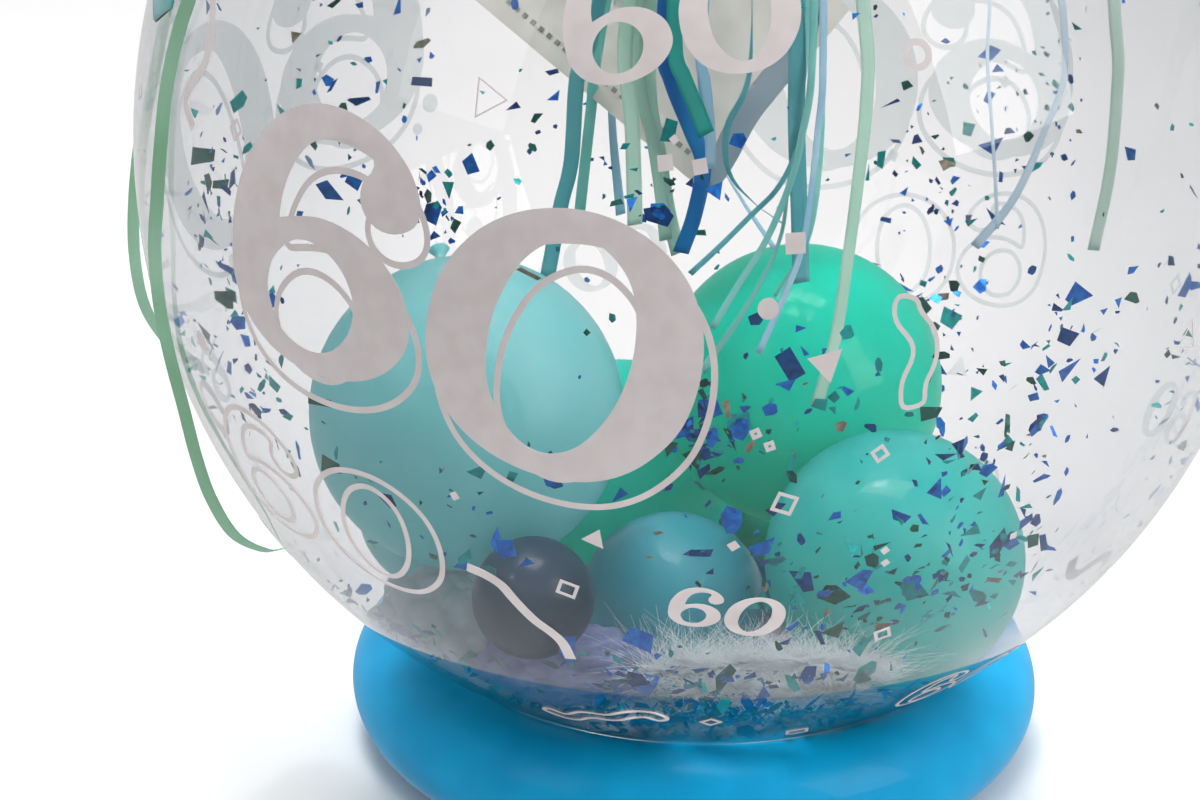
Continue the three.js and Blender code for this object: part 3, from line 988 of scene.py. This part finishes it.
# The nozzle past the knot: radius and height over the neck's end, in millimetres
NOZZLE = ((1.6, 1.5), (3.2, 3), (3.4, 5), (1.8, 6.5), (2.6, 9), (4.2, 11), (3.6, 12), (0, 10))
AQUA_LATEX = (tone(132, 204, 206), tone(148, 212, 214), 0.52)
SMALL_BALLOONS = (
    ("emerald_balloon", (41, 11, -107), 57.5, (0.3, 0.9, 0.2), tone(0, 214, 188), tone(0, 222, 196), 0.5),
    ("mint_balloon", (77, -86, -140), 50.5, (0.2, 0.8, -0.5), tone(52, 194, 188), tone(80, 204, 196), 0.5),
    ("aqua_balloon", (-90, -74, -88), 61, (-0.2, 0.8, 0.6), *AQUA_LATEX),
    ("teal_balloon", (-33, 59, -172.5), 51.5, (-0.5, 0.7, 0.5), tone(4, 222, 204), tone(24, 228, 210), 0.55),
    ("sky_balloon", (-9, -55, -177), 37.5, (0.4, 0.8, 0.3), tone(66, 178, 194), tone(92, 190, 204), 0.45),
    ("slate_balloon", (-60.5, -144, -133), 23, (-0.3, 0.9, 0.3), tone(34, 60, 78), tone(50, 72, 90), 0.3),
    ("jade_balloon", (34, 78, -195), 21, (0.2, 0.6, 0.7), tone(0, 196, 170), tone(0, 206, 180), 0.3),
    ("pale_balloon", (-106, 2, -163), 34, (-0.3, 0.8, 0.4), *AQUA_LATEX),
)


def small_balloon(name, place, radius, towards, colour, other, clear):
    """A round small balloon with its neck drawn out towards its knot and a rolled nozzle past it."""
    radius *= MM
    profile = []
    for t in np.linspace(-math.pi / 2, math.pi / 2, 44):
        draw = smooth_step(math.sin(t), 0.9, 1.0)
        profile.append((max(radius * math.cos(t), MINI_NECK * draw), radius * (math.sin(t) + 0.07 * draw)))
    top = profile[-1][1]
    profile += [(r * MM, top + z * MM) for r, z in NOZZLE]
    points, faces = turned(profile, 64)
    turn = Vector((0, 0, 1)).rotation_difference(Vector(towards)).to_matrix()
    skin = light_through(latex(name + "_latex", colour, other), clear, colour)
    add_mesh(name, points @ np.array(turn).T + in_metres(place), faces, skin, "mini_latex")


for small in SMALL_BALLOONS:
    small_balloon(*small)


# Foil confetti on the inside of the film: azimuth, rise, spread across and up in degrees, and how many
CONFETTI = (
    (27, -10, 9, 9, 100), (37, -2, 5, 8, 40), (0, -8, 3, 4, 60), (1, -40, 22, 5, 150), (22, -27, 12, 7, 110),
    (-25, 10, 4, 3, 26), (-33, 10, 4, 4, 18), (-5, 12, 5, 5, 28), (-52, 4, 5, 8, 46), (-48, -12, 6, 7, 44),
    (-43, -42, 14, 6, 110), (33, -25, 7, 6, 50), (7, -8, 7, 8, 46), (-12, -3, 12, 14, 24),
    (10, -22, 12, 7, 50), (-28, -20, 10, 8, 36), (-167, -16, 16, 10, 60), (150, -18, 12, 12, 90),
    (150, -36, 10, 7, 110), (-135, -7, 12, 9, 50), (138, -8, 6, 9, 40), (90, -20, 25, 16, 150),
    (-100, -20, 22, 15, 110), (180, -50, 60, 10, 160), (60, 24, 30, 18, 30), (-60, 30, 30, 18, 26),
    (180, 24, 60, 18, 50), (0, 34, 26, 14, 18), (0, -66, 70, 8, 300), (0, -82, 200, 12, 520),
    (4, -49, 26, 2.6, 300),
)
FOILS = (
    ("royal_confetti", tone(0, 74, 154), tone(0, 108, 190), 0.32),
    ("navy_confetti", tone(0, 50, 100), tone(0, 68, 130), 0.2),
    ("emerald_confetti", tone(0, 126, 126), tone(0, 148, 148), 0.26),
    ("green_confetti", tone(4, 66, 58), tone(14, 88, 74), 0.18),
    ("bronze_confetti", tone(104, 98, 84), tone(138, 128, 110), 0.04),
)
FOIL_WALL = 0.08 * MM
FOIL_GAP = 1.0 * MM
FOIL_SMALLEST = 1.1
FOIL_LARGEST = 7.5
FOIL_LEAN = 26
FOIL_BEND = 0.12


def shard(dice):
    """A flat scrap of foil with three to six corners, about its own middle."""
    corners = dice.choice((3, 3, 4, 4, 4, 5, 6))
    size = 0.85 * MM * min(FOIL_LARGEST, FOIL_SMALLEST + dice.expovariate(0.55))
    stretch = dice.uniform(0.35, 1.0)
    turns = np.array([dice.uniform(0, 0.75) + i for i in range(corners)]) * 2 * math.pi / corners
    ring = size * np.stack([np.cos(turns), stretch * np.sin(turns)], axis=1)
    return ring - ring.mean(axis=0)


def scrap(dice, azimuth, rise):
    """One scrap on the inside of the film, leaning off it a little and bent."""
    way = facing(azimuth, rise)
    ring = shard(dice)
    lean = math.radians(min(80, abs(dice.gauss(0, FOIL_LEAN))))
    reach = np.linalg.norm(ring, axis=1).max()
    normal = Vector(outwards(on_body(way)))
    flat = normal.orthogonal().normalized()
    flat.rotate(Matrix.Rotation(dice.uniform(0, 2 * math.pi), 3, normal))
    other = normal.cross(flat)
    tilted = Matrix.Rotation(lean, 3, other) @ flat
    face = np.array(tilted.cross(other)) * FOIL_WALL / 2
    here = on_body(way, -FOIL_GAP - reach * math.sin(lean)) + ring @ np.array([tilted, other])
    bent = FOIL_BEND * reach * np.abs(np.cos(np.arange(len(ring)) * 2.4))
    here = here - np.outer(bent, outwards(here[0]))
    return closed_sheet(here + face, here - face, [tuple(range(len(ring)))])


def confetti():
    dice = random.Random(60)
    made = {name: [] for name, *_ in FOILS}
    shares = [share for *_, share in FOILS]
    for azimuth, rise, across, up, count in CONFETTI:
        for _ in range(count):
            place = (azimuth + dice.gauss(0, across * 0.6), rise + dice.gauss(0, up * 0.6))
            piece = scrap(dice, *place)
            made[dice.choices(list(made), shares)[0]].append(piece)
    for name, colour, other, _ in FOILS:
        add_mesh(name, *joined(made[name]), foil(name + "_foil", colour, other), "foil", smooth=False)


confetti()


# The ribbons that hang inside from the neck. Key points in millimetres from the middle

TEAL = (tone(98, 186, 194), tone(124, 202, 208))
AQUA = (tone(136, 212, 206), tone(160, 224, 216))
SAGE = (tone(182, 218, 202), tone(198, 228, 214))
ROYAL = (tone(0, 112, 190), tone(0, 144, 206))
EMERALD = (tone(0, 152, 142), tone(20, 172, 160))
SKY = (tone(156, 200, 222), tone(182, 216, 230))
GREY_BLUE = (tone(172, 188, 200), tone(186, 200, 210))
PALE_SKY = (tone(208, 224, 236), tone(220, 232, 240))
PALE_SAGE = (tone(204, 226, 214), tone(214, 232, 222))

# Each one's name, width, colours, how far it twists, and key points
INNER_RIBBONS = (
    ("teal_ribbon", 6.5, TEAL, 0.25, (
        (-3, 0, 268), (-14, -4, 200), (-32, -8, 120), (-46, -10, 45), (-51, -10, 29), (-53, -10, -6),
        (-57, -10, -25), (-62, -10, -55))),
    ("aqua_ribbon", 5.0, AQUA, 0.4, (
        (-2, 3, 268), (-12, 6, 200), (-30, 6, 120), (-43, 5, 40), (-46, 5, 10), (-49, 6, -22),
        (-51, 8, -44))),
    ("grey_blue_ribbon", 4.5, SKY, 0.8, (
        (-2, 5, 268), (-12, 14, 190), (-28, 18, 110), (-38, 20, 36), (-38, 21, 1), (-34, 24, -40))),
    ("sage_ribbon_a", 6.5, SAGE, 0.3, (
        (-3, -4, 268), (-10, -16, 190), (-24, -26, 110), (-32, -30, 51), (-29, -30, 18), (-27, -30, -25))),
    ("sage_ribbon_b", 6.5, SAGE, 0.4, (
        (-1, -3, 268), (-8, -8, 180), (-20, -12, 100), (-23, -15, 32), (-18, -15, -3), (-14, -15, -26),
        (-10, -15, -42))),
    ("royal_ribbon", 7.0, ROYAL, 0.3, (
        (0, -4, 268), (-6, -12, 190), (-14, -20, 110), (-17, -25, 49), (-14, -25, 33), (-6, -25, 13),
        (-1, -25, -1), (-4, -25, -22), (-9, -25, -38))),
    ("emerald_ribbon", 7.0, EMERALD, 0.4, (
        (1, -5, 268), (-4, -20, 190), (-12, -34, 110), (-13, -40, 53), (-9, -40, 38), (-4, -40, 26),
        (0, -40, 16))),
    ("teal_ribbon_right", 7.0, TEAL, 0.2, (
        (3, -4, 268), (14, -20, 190), (28, -40, 110), (33, -50, 59), (34, -50, 26), (36, -50, -6),
        (38, -50, -40))),
    ("aqua_ribbon_right", 3.5, AQUA, 1.0, (
        (4, -3, 268), (16, -18, 190), (32, -36, 110), (37, -45, 57), (35, -45, 28), (32, -46, 0),
        (29, -48, -24), (17, -52, -50), (0, -56, -76))),
    ("sage_ribbon_right", 5.5, SAGE, 0.4, (
        (4, -5, 268), (24, -24, 190), (50, -44, 110), (59, -55, 61), (60, -58, 36), (58, -62, 8),
        (55, -66, -24), (51, -70, -57), (45, -72, -82))),
    ("sage_ribbon_far", 6.0, PALE_SAGE, 0.3, (
        (5, 4, 268), (40, 36, 220), (110, 84, 140), (160, 112, 60), (172, 118, 11), (174, 120, -17),
        (173, 119, -50), (168, 116, -84))),
    ("sky_ribbon_far", 5.5, PALE_SKY, 0.8, (
        (4, 6, 268), (34, 40, 220), (94, 82, 140), (138, 104, 60), (150, 108, 3), (143, 108, -28),
        (132, 108, -58), (116, 106, -80))),
    ("band_ribbon", 11.0, GREY_BLUE, 0.1, (
        (6, -8, 268), (22, -14, 190), (36, -20, 110), (36, -24, 50), (26, -24, 35), (15, -24, 19),
        (6, -23, 0), (-1, -22, -11))),
    ("pale_ribbon_front", 4.5, SKY, 0.3, (
        (1, -10, 268), (2, -24, 190), (0, -33, 110), (-3, -36, 50), (-1, -36, 36), (1, -36, 20),
        (2, -36, 1))),
    ("teal_strand", 2.8, TEAL, 0.5, (
        (5, -6, 268), (24, -24, 190), (38, -44, 110), (39, -52, 49), (37, -52, 25), (33, -52, 10),
        (27, -52, -2), (18, -52, -12), (6, -53, -25), (-5, -54, -36))),
    ("aqua_strand", 3.2, AQUA, 0.4, (
        (5, -8, 268), (24, -28, 190), (37, -50, 110), (39, -57, 49), (36, -57, 21), (32, -57, 2),
        (24, -57, -20), (14, -58, -38), (4, -60, -56))),
    ("sky_strand", 3.0, SKY, 0.4, (
        (6, -7, 268), (28, -30, 190), (40, -54, 110), (43, -62, 50), (42, -62, 26), (40, -63, -2),
        (37, -64, -23), (30, -66, -43), (22, -70, -62))),
    ("sage_ribbon_c", 5.5, SAGE, 0.3, (
        (-2, -6, 268), (-14, -14, 190), (-26, -20, 110), (-27, -21, 37), (-21, -21, 8), (-17, -21, -17),
        (-15, -22, -34))),
    ("thin_ribbon_far", 2.0, PALE_SKY, 0.6, (
        (5, 8, 268), (30, 34, 220), (80, 68, 140), (112, 88, 60), (116, 90, 8), (119, 90, -18),
        (122, 90, -44), (124, 90, -66))),
    ("thin_curl_a", 2.6, TEAL, 2.2, (
        (1, -3, 268), (6, -12, 190), (14, -24, 100), (16, -30, 40), (8, -30, 16), (9, -31, -2),
        (19, -32, -14), (31, -34, -22))),
    ("thin_curl_b", 2.4, SKY, 2.6, (
        (2, 0, 268), (4, -6, 180), (0, -8, 90), (-3, -10, 37), (-1, -10, 16), (4, -12, -2), (15, -14, -20),
        (28, -18, -38))),
    ("thin_curl_c", 2.4, AQUA, 2.0, (
        (3, 2, 268), (18, 4, 180), (36, -10, 100), (44, -28, 40), (44, -34, 4), (40, -40, -26),
        (28, -50, -46))),
)
INNER_WALL = 0.3 * MM
INNER_FACES = np.array([0.15, -0.98, 0.1])
INNER_TWIST = 5.0


def inner_ribbons():
    for name, width, colours, turns, keys in INNER_RIBBONS:
        route = smooth_route(in_metres(keys), 90)
        twist = turns * np.sin(np.linspace(0, 1, len(route)) * INNER_TWIST + turns)
        gloss = gloss_ribbon(name + "_gloss", *colours)
        free_ribbon(name, route, width * MM, INNER_WALL, gloss, "inner_ribbon",
                    face_to=INNER_FACES, twist=twist)


inner_ribbons()


# A card that hangs by one corner, with a row of small square marks along its edge

CARD_CORNER = (-2, -8, -17)
CARD_LEFT = np.array([-0.78, 0.28, 0.56])
CARD_RIGHT = np.array([0.42, 0.32, 0.85])
CARD_LONG = 140
CARD_SHORT = 92
CARD_WALL = 1.4
CARD_BOW = 2.5
MARKS = 28
MARK_STEP = 4.2
MARK_SIZE = (2.2, 2.0)
MARK_WALL = 0.2


def card_leaf(x, y, wide, high, lift, wall, steps):
    """A thin closed leaf that follows the card's bow, in millimetres from the card's corner."""
    left = unit(CARD_LEFT)
    right = unit(CARD_RIGHT - (CARD_RIGHT @ left) * left)
    front = np.cross(right, left)
    shares = np.arange(steps + 1) / steps
    a = np.repeat(x + wide * shares, steps + 1)[:, None]
    b = np.tile(y + high * shares, steps + 1)[:, None]
    leaf = left * a + right * b + front * (lift + CARD_BOW * np.sin(math.pi * a / CARD_LONG))
    top, foot = (in_metres(CARD_CORNER) + (leaf + front * side) * MM for side in (wall / 2, -wall / 2))
    return closed_sheet(top, foot, grid_faces(steps + 1, steps + 1, around=False))


def hanging_card():
    paper = surface("card_paper", tone(188, 186, 178), tone(200, 198, 190), 12 * MM, 0.03 * MM, 0.7 * MM,
                    Roughness=0.7)
    marks = surface("card_marks", tone(120, 122, 118), tone(136, 138, 134), 2 * MM, Roughness=0.5)
    leaf = card_leaf(0, 0, CARD_LONG, CARD_SHORT, 0, CARD_WALL, 10)
    add_mesh("hanging_card", *leaf, paper, "card", smooth=False)
    squares = [card_leaf(12 + i * MARK_STEP, 7, *MARK_SIZE, 0.75, MARK_WALL, 1) for i in range(MARKS)]
    add_mesh("card_marks", *joined(squares), marks, "card", smooth=False)


hanging_card()


# Directions that the creases of a crumpled scrap run across, coarse ones first
CREASES = ((5, 2, 3), (-3, 6, 4), (4, -7, 9), (9, 8, -5), (-12, 7, 11))


def crumpled_tissue(name, place, half_size, alpha, colour, other):
    """A crumpled scrap of thin film that lies at the bottom."""
    rows, sides = 70, 110
    ways = ways_round(rows, sides)
    ridge = 0
    for k, crease in enumerate(CREASES):
        ridge = ridge + np.abs(np.sin(ways @ crease + 1.3 * k)) / (1 + 0.5 * k)
    spots = in_metres(place) + ways * np.array(half_size) * MM * (0.72 + 0.15 * ridge)[:, None]
    skin = surface(name + "_film", colour, other, 9 * MM, Roughness=0.3, Alpha=alpha)
    skin = light_through(skin, 0.3, other)
    add_mesh(name, kept_inside(spots), grid_faces(rows + 1, sides), skin, "mini_latex")


VIOLET = (tone(104, 120, 170), tone(146, 158, 200))
SMOKE = (tone(170, 184, 194), tone(200, 210, 216))
crumpled_tissue("violet_tissue", (-48, -122, -172), (37, 17, 15), 0.62, *VIOLET)
crumpled_tissue("smoky_tissue", (-92, -92, -170), (34, 30, 22), 0.52, *SMOKE)


# White down at the bottom: strands that curve out from short shafts. Each shaft's foot in millimetres from
# the middle, and its turn in radians

PLUMES = ((-20, -134, -170, 0.5), (0, -140, -164, 0.2), (20, -140, -164, 0.1), (40, -138, -166, 0.3),
          (52, -130, -170, 0.8), (-4, -116, -186, 0.0), (26, -118, -186, 0.2), (-34, -110, -192, 1.0))
STRANDS = 760
SHAFT_LENGTH = 26 * MM
STRAND_LENGTHS = (7, 24)
STRAND_THICK = np.linspace(0.13, 0.04, 5) * MM
CORNERS = ring_of(3, 2)


def strand(dice, base, shaft_way):
    """One strand: where it leaves the shaft, which way and how it curls, as a thin tapered sweep."""
    root = base + shaft_way * SHAFT_LENGTH * dice.uniform(0, 1)
    out = np.array([dice.gauss(0, 0.6), dice.gauss(-0.1, 0.5), abs(dice.gauss(0.3, 0.45))])
    out = unit(out + 0.4 * shaft_way)
    reach = dice.uniform(*STRAND_LENGTHS) * MM
    droop = np.array([0, 0, dice.uniform(-0.2, 0.7) * reach * 0.6])
    curl = np.array([dice.gauss(0, 0.8), dice.gauss(0, 0.5), dice.gauss(0, 0.3)]) * reach * 0.5
    share = np.linspace(0, 1, len(STRAND_THICK))[:, None]
    route = kept_inside(root + out * reach * share + (curl - droop) * share ** 2)
    side = unit(np.cross(out, [0.3, 0.5, 0.8]))
    other = np.cross(out, side)
    return swept(route, [side] * len(route), [other] * len(route), lambda i: STRAND_THICK[i] * CORNERS)


def feathers():
    dice = random.Random(7)
    parts = []
    for *base, turn in PLUMES:
        shaft_way = np.array([math.cos(turn), -0.15, 0.25])
        parts += [strand(dice, in_metres(base), shaft_way) for _ in range(STRANDS)]
    down = surface("white_down", tone(248, 250, 250), tone(254, 255, 255), 6 * MM, Roughness=0.7)
    add_mesh("white_feathers", *joined(parts), light_through(down, 0.72, tone(246, 252, 254)), "feather")


feathers()


# Floor, light and world

WORLD_DARK = 0.28
WORLD_BRIGHT = 0.86
BRIGHT_SIDE = (0.42, 0.907, 0.0)
FLOOR_REACH = 6.0
FLOOR_TONES = ((0.79, 0.79, 0.79), (0.81, 0.81, 0.81))

# Each lamp's name, place, width, watts and spread in degrees
LAMPS = (
    ("softbox_left", (-1.5, -1.3, 1.3), 0.9, 4, 160),
    ("softbox_right", (1.6, -0.95, 1.2), 1.0, 15, 160),
    ("softbox_top", (-0.2, 0.1, 2.4), 1.0, 34, 180),
    ("key_light", (-0.4, 0.1, 2.2), 0.24, 10, 180),
)


def pale_floor():
    mesh = bpy.data.meshes.new("floor")
    corners = [(x * FLOOR_REACH, y * FLOOR_REACH, 0) for x, y in ((-1, -1), (1, -1), (1, 1), (-1, 1))]
    mesh.from_pydata(corners, [], [(0, 1, 2, 3)])
    floor = bpy.data.objects.new("floor", mesh)
    bpy.context.scene.collection.objects.link(floor)
    mesh.materials.append(surface("pale_floor", *FLOOR_TONES, 0.4, Roughness=0.8))
    floor.visible_glossy = False


def studio_world():
    """White light all round, brightest from one side."""
    world = bpy.data.worlds.new("studio")
    bpy.context.scene.world = world
    world.use_nodes = True
    world.cycles.sampling_method = "NONE"
    tree = world.node_tree
    along = add_node(tree, "ShaderNodeVectorMath")
    along.operation = "DOT_PRODUCT"
    along.inputs[1].default_value = BRIGHT_SIDE
    tree.links.new(add_node(tree, "ShaderNodeTexCoord").outputs["Generated"], along.inputs[0])
    fade = add_node(tree, "ShaderNodeMapRange", Value=along.outputs["Value"], From_Min=-1.0,
                    To_Min=WORLD_DARK, To_Max=WORLD_BRIGHT)
    plug(tree, tree.nodes["Background"], Color=(1, 1, 1, 1), Strength=fade.outputs["Result"])


def add_lamp(name, place, size, power, spread):
    """A soft lamp that is turned to the middle of the balloon."""
    lamp = bpy.data.lights.new(name, "AREA")
    lamp.shape = "RECTANGLE"
    lamp.size = size
    lamp.size_y = size * 1.4
    lamp.energy = power
    lamp.spread = math.radians(spread)
    holder = bpy.data.objects.new(name, lamp)
    bpy.context.scene.collection.objects.link(holder)
    holder.location = place
    aim = Vector(CENTRE) - Vector(place)
    holder.rotation_euler = aim.to_track_quat("-Z", "Y").to_euler()


pale_floor()
studio_world()
for lamp in LAMPS:
    add_lamp(*lamp)
bpy.context.scene.cycles.max_bounces = 8
bpy.context.scene.view_settings.view_transform = "Standard"
